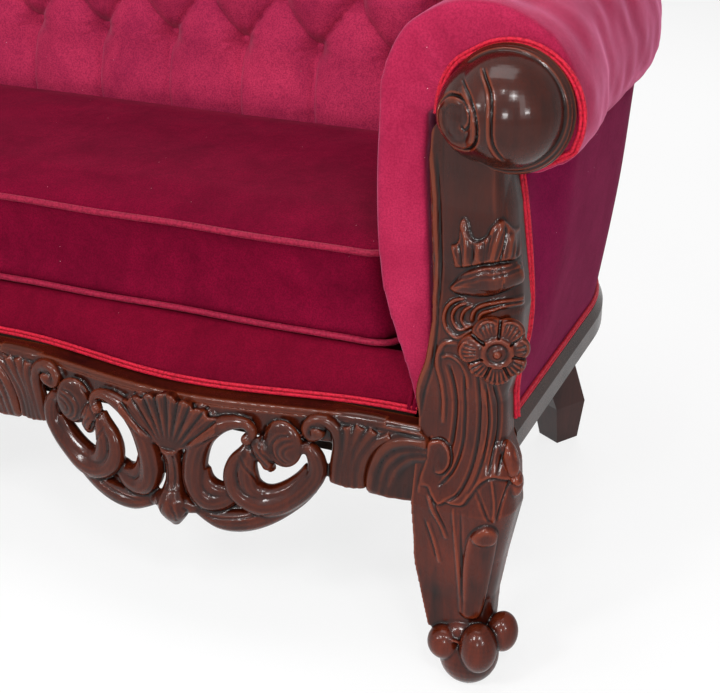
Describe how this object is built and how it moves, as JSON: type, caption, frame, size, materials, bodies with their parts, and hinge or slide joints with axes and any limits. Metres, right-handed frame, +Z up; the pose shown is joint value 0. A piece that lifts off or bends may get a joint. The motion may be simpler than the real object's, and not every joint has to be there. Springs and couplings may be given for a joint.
{
  "type": "tufted settee",
  "caption": "Settee with rolled arms, buttoned back, loose boxed seat cushion, bowed front rail with pierced shell and scroll carving, scrolled front posts and raked rear legs.",
  "frame": {"origin": "on the floor, under the middle of the bounding box", "axes": "+X to the right seen from the front, +Y from the front to the back, +Z up"},
  "size_m": [1.422, 0.7316, 0.745],
  "materials": {
    "mahogany": "french polished",
    "beech": "raw",
    "steel": "plain",
    "lining": "plain weave",
    "seat_velvet": "velvet",
    "back_velvet": "velvet",
    "panel_velvet": "velvet",
    "gimp": "corded braid"
  },
  "bodies": {
    "frame": {"front_post_right": "mahogany", "front_post_left": "mahogany", "arm_scroll_right": "mahogany", "arm_scroll_left": "mahogany", "post_rosette_right": "mahogany", "post_rosette_left": "mahogany", "carved_apron_right": "mahogany", "carved_apron_left": "mahogany", "side_moulding_right": "mahogany", "side_moulding_left": "mahogany", "seat_frame_side_right": "beech", "seat_frame_side_left": "beech", "rear_leg_right": "mahogany", "rear_leg_left": "mahogany", "arm_top_rail_right": "beech", "arm_top_rail_left": "beech", "arm_tack_rail_right": "beech", "arm_tack_rail_left": "beech", "corner_upright_right": "beech", "corner_upright_left": "beech", "arm_pad_right": "back_velvet", "arm_pad_left": "back_velvet", "outer_arm_right": "panel_velvet", "outer_arm_left": "panel_velvet", "gimp_side_right": "gimp", "gimp_side_left": "gimp", "gimp_post_right": "gimp", "gimp_post_left": "gimp", "gimp_scroll_right": "gimp", "gimp_scroll_left": "gimp", "carved_front_rail": "mahogany", "back_moulding": "mahogany", "seat_frame_back": "beech", "seat_frame_front": "beech", "seat_frame_cross": "beech", "corner_blocks": "beech", "corner_screws": "steel", "rear_leg_screws": "steel", "back_top_rail": "beech", "back_tack_rail": "beech", "back_centre_post": "beech", "seat_springs": "steel", "spring_clips": "steel", "spring_cover": "lining", "dust_cover": "lining", "deck_pad": "seat_velvet", "front_border": "seat_velvet", "outer_back": "panel_velvet", "tufted_back": "back_velvet", "back_buttons": "back_velvet", "back_roll": "back_velvet", "gimp_front": "gimp", "gimp_back": "gimp"},
    "cushion": {"seat_cushion": "seat_velvet", "cushion_welts": "gimp"}
  },
  "joints": [
    {"name": "cushion_lift", "type": "slide", "parent": "frame", "child": "cushion", "axis": [0, 0, 1], "range_m": [0, 0.12]}
  ]
}
